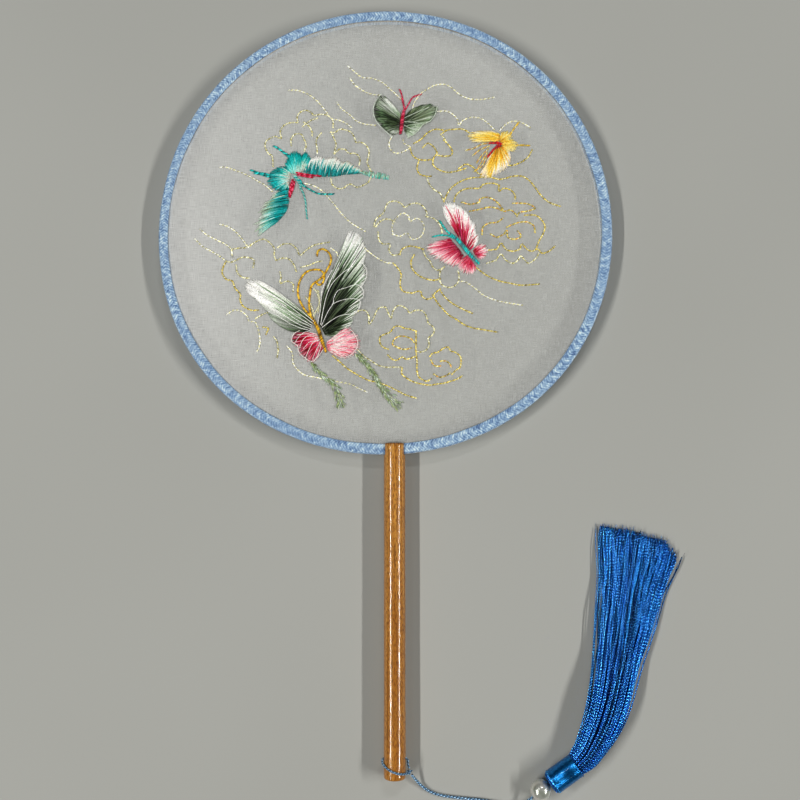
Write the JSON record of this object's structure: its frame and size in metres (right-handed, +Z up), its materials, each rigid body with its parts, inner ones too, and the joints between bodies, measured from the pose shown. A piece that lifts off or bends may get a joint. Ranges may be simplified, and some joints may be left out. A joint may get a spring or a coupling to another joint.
{
  "type": "round embroidered fan",
  "caption": "Round hand fan: a bound hoop with a sheer embroidered silk face, a round wooden handle held in a cleft, and a tassel with a pearl bead on a cord through the handle's end.",
  "frame": {"origin": "under the middle of the fan (hoop and handle), on the surface that it lies on", "axes": "+Y from the handle towards the face, +Z up out of the embroidered front, +X to the tassel's side"},
  "size_m": [0.2929, 0.4511, 0.0145],
  "materials": {
    "bamboo": "scraped and dry",
    "silk": "sheer plain-woven silk",
    "tape": "woven tape with a small figure",
    "wood": "smooth, lightly varnished",
    "cord": "two-ply rayon cord",
    "pearl": "pearl lustre",
    "thread": "two-ply rayon thread",
    "band": "satin-wound thread",
    "grey_thread": "silk floss",
    "pink_thread": "silk floss",
    "teal_thread": "silk floss",
    "yellow_thread": "silk floss",
    "gold_thread": "silk floss",
    "cloud_thread": "twisted silk thread"
  },
  "bodies": {
    "fan": {"hoop_core": "bamboo", "silk_panel": "silk", "rim_binding": "tape", "handle": "wood", "cord_loop": "cord", "grey_butterfly_forewing_left": "grey_thread", "grey_butterfly_forewing_right": "grey_thread", "grey_butterfly_hindwing_left": "pink_thread", "grey_butterfly_hindwing_right": "pink_thread", "teal_butterfly_upper_body": "teal_thread", "teal_butterfly_lower_body": "teal_thread", "teal_butterfly_wing_right": "teal_thread", "teal_butterfly_wing_low": "teal_thread", "green_butterfly_wing_left": "grey_thread", "green_butterfly_wing_right": "grey_thread", "yellow_butterfly_wing_left": "yellow_thread", "yellow_butterfly_wing_top": "yellow_thread", "yellow_butterfly_wing_low": "yellow_thread", "pink_butterfly_wing_upper": "pink_thread", "pink_butterfly_wing_left": "pink_thread", "pink_butterfly_hindwing_right": "pink_thread", "pink_butterfly_hindwing_low": "pink_thread", "grey_butterfly_body": "gold_thread", "green_butterfly_body": "pink_thread", "pink_butterfly_body": "teal_thread", "grey_butterfly_feeler_left": "gold_thread", "grey_butterfly_feeler_right": "gold_thread", "grey_butterfly_feeler_tip": "gold_thread", "grey_butterfly_tail_left": "grey_thread", "grey_butterfly_tail_right": "grey_thread", "teal_butterfly_feeler_high": "teal_thread", "teal_butterfly_feeler_low": "teal_thread", "teal_butterfly_leg": "teal_thread", "green_butterfly_feeler": "pink_thread", "yellow_butterfly_feeler_high": "yellow_thread", "yellow_butterfly_feeler_low": "yellow_thread", "pink_butterfly_feeler_high": "teal_thread", "pink_butterfly_feeler_low": "teal_thread", "cloud_a_scallops": "cloud_thread", "cloud_a_right_scallops": "cloud_thread", "cloud_a_streamer": "cloud_thread", "cloud_b_streamer_left": "cloud_thread", "cloud_b_streamer_right": "cloud_thread", "cloud_b_scallops": "cloud_thread", "cloud_b_low_scallops": "cloud_thread", "cloud_c_streamer": "cloud_thread", "cloud_c_scallops": "cloud_thread", "cloud_d_scallops": "cloud_thread", "cloud_d_low_scallops": "cloud_thread", "cloud_e_scallops": "cloud_thread", "cloud_e_curl": "cloud_thread", "cloud_f_scallops": "cloud_thread", "cloud_f_streamer": "cloud_thread"},
    "knot": {"hitch_knot": "cord"},
    "cord": {"tassel_cord": "cord"},
    "bead": {"pearl_bead": "pearl"},
    "tassel": {"tassel_head": "thread", "cord_end_knot": "cord", "tassel_band": "band", "tassel_skirt": "thread"}
  },
  "joints": [
    {"name": "cord_swing", "type": "hinge", "parent": "fan", "child": "knot", "pos_m": [0.01425, -0.21455, 0.006], "axis": [0, 0, 1], "range_deg": [-45, 10]},
    {"name": "cord_lift", "type": "hinge", "parent": "knot", "child": "cord", "pos_m": [0.01425, -0.21455, 0.006], "axis": [0, -1, 0], "range_deg": [0, 60]},
    {"name": "bead_spin", "type": "hinge", "parent": "cord", "child": "bead", "pos_m": [0.0852, -0.22335, 0.00575], "axis": [0.7547, 0.6561, 0], "continuous": true},
    {"name": "tassel_turn", "type": "hinge", "parent": "cord", "child": "tassel", "pos_m": [0.0852, -0.22335, 0.00575], "axis": [0, 0, 1], "range_deg": [-90, 15]}
  ]
}
